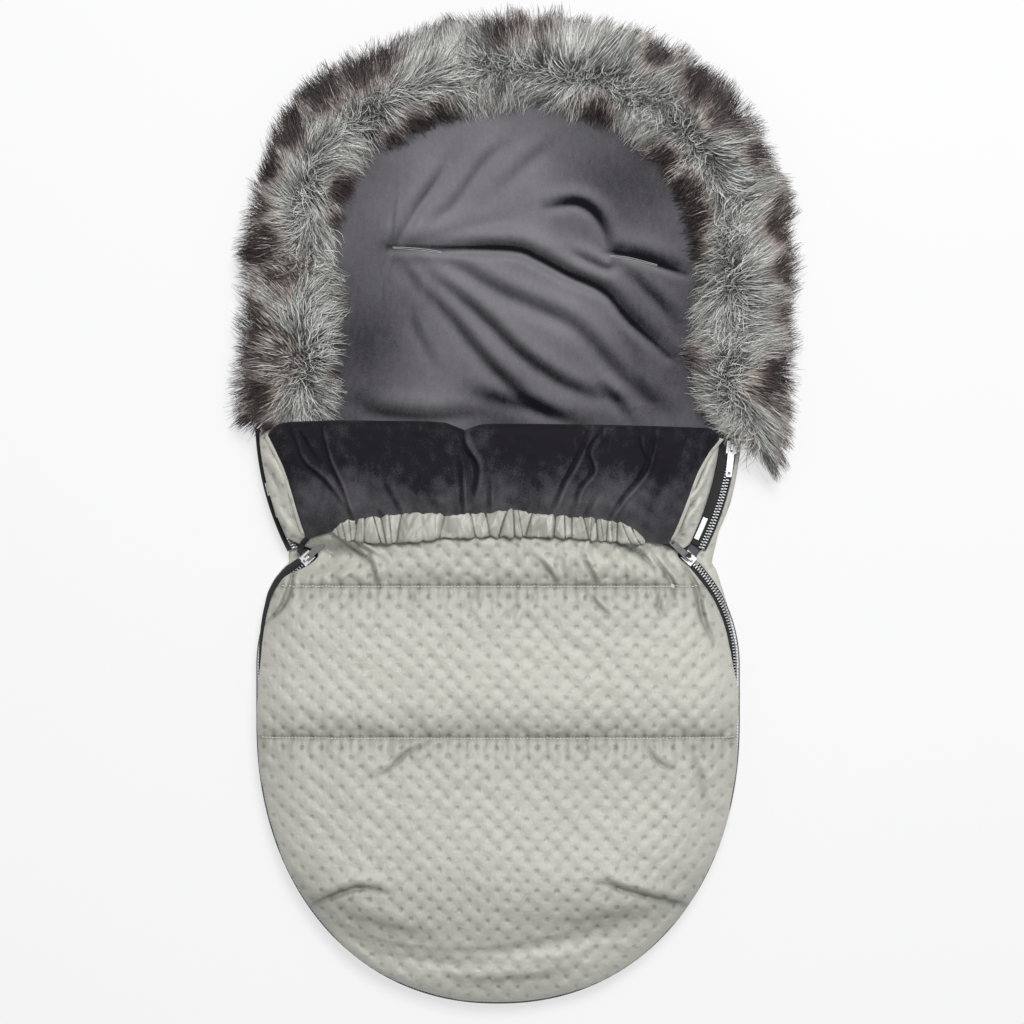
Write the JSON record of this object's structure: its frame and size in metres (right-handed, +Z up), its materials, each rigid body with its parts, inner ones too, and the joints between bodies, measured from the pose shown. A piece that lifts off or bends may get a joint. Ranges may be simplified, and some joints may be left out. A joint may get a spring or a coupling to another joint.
{
  "type": "stroller footmuff",
  "caption": "Quilted stroller footmuff with a zip-off front cover, velvet lining, harness slits, fold-down elastic cuff and a hood edged with long-pile fur trim.",
  "frame": {"origin": "on the underside of the back panel, on its middle line, 47 mm above the waist towards the hood; z is 0 on the surface that the footmuff lies on", "axes": "+Y runs from the foot end to the hood, +X to the right seen from above with the hood up, +Z up out of the cover"},
  "size_m": [0.552, 0.9958, 0.0671],
  "materials": {
    "quilt": "sage-grey quilted microfibre, faint satin sheen",
    "wadding": "white polyester wadding",
    "velvet": "charcoal velvet pile",
    "stitching": "woven tape and dense machine stitching",
    "fur": "long silver-grey pile with dark brown tips",
    "zip_tape": "black woven polyester tape",
    "zip_teeth": "silver moulded teeth",
    "slider_metal": "bright plated die casting",
    "satin": "smooth satin-faced microfibre",
    "elastic": "white knitted elastic",
    "film": "white heat-sealed film"
  },
  "bodies": {
    "back": {"back_shell": "quilt", "back_wadding": "wadding", "back_lining": "velvet", "slit_binding_left": "stitching", "slit_binding_right": "stitching", "fur_trim": "fur", "fur_band": "stitching", "upper_tape_back_left": "zip_tape", "upper_tape_back_right": "zip_tape", "upper_teeth_back_left": "zip_teeth", "upper_teeth_back_right": "zip_teeth", "lower_tape_back": "zip_tape", "lower_teeth_back": "zip_teeth"},
    "cover": {"cover_lining": "velvet", "cover_wadding": "wadding", "cover_shell": "quilt", "upper_tape_cover_left": "zip_tape", "upper_tape_cover_right": "zip_tape", "upper_teeth_cover_left": "zip_teeth", "upper_teeth_cover_right": "zip_teeth", "lower_tape_cover": "zip_tape", "lower_teeth_cover": "zip_teeth", "tape_tail_left": "zip_tape", "tape_tail_right": "zip_tape", "zip_end_film": "film"},
    "cuff": {"cuff_shell": "quilt", "cuff_wadding": "wadding", "cuff_lining": "velvet", "cuff_hem": "satin", "cuff_elastic": "elastic"},
    "upper_slider_left": {"upper_slider_left": "slider_metal"},
    "upper_slider_right": {"upper_slider_right": "slider_metal"},
    "lower_slider_left": {"lower_slider_left": "slider_metal"},
    "lower_slider_right": {"lower_slider_right": "slider_metal"},
    "upper_pull_left": {"upper_pull_left": "slider_metal"},
    "upper_pull_right": {"upper_pull_right": "slider_metal"},
    "lower_pull_left": {"lower_pull_left": "slider_metal"},
    "lower_pull_right": {"lower_pull_right": "slider_metal"}
  },
  "joints": [
    {"name": "cover_swing", "type": "hinge", "parent": "back", "child": "cover", "pos_m": [0, -0.505, 0.02], "axis": [1, 0, 0], "range_deg": [0, 120]},
    {"name": "cuff_fold", "type": "hinge", "parent": "cover", "child": "cuff", "pos_m": [0, 0.086, 0.0575], "axis": [-1, 0, 0], "range_deg": [0, 135]},
    {"name": "upper_slide_left", "type": "hinge", "parent": "cover", "child": "upper_slider_left", "pos_m": [0.053, 0.09, 0.0182], "axis": [0, 0, 1], "range_deg": [-10, 9]},
    {"name": "upper_slide_right", "type": "hinge", "parent": "cover", "child": "upper_slider_right", "pos_m": [-0.053, 0.09, 0.0182], "axis": [0, 0, -1], "range_deg": [-2, 17]},
    {"name": "lower_slide_left", "type": "hinge", "parent": "cover", "child": "lower_slider_left", "pos_m": [-0.093, -0.16, 0.0182], "axis": [0, 0, 1], "range_deg": [0, 41]},
    {"name": "lower_slide_right", "type": "hinge", "parent": "cover", "child": "lower_slider_right", "pos_m": [0.093, -0.16, 0.0182], "axis": [0, 0, -1], "range_deg": [0, 41]},
    {"name": "upper_pull_tilt_left", "type": "hinge", "parent": "upper_slider_left", "child": "upper_pull_left", "pos_m": [-0.22689, 0.018, 0.02262], "axis": [-0.9685, -0.2491, 0], "range_deg": [0, 150]},
    {"name": "upper_pull_tilt_right", "type": "hinge", "parent": "upper_slider_right", "child": "upper_pull_right", "pos_m": [0.23433, 0.059, 0.02262], "axis": [-0.9942, 0.1073, 0], "range_deg": [0, 150]},
    {"name": "lower_pull_tilt_left", "type": "hinge", "parent": "lower_slider_left", "child": "lower_pull_left", "pos_m": [-0.19164, -0.05236, 0.02262], "axis": [0.6756, -0.7373, 0], "range_deg": [0, 110]},
    {"name": "lower_pull_tilt_right", "type": "hinge", "parent": "lower_slider_right", "child": "lower_pull_right", "pos_m": [0.19164, -0.05236, 0.02262], "axis": [0.6756, 0.7373, 0], "range_deg": [0, 110]}
  ]
}
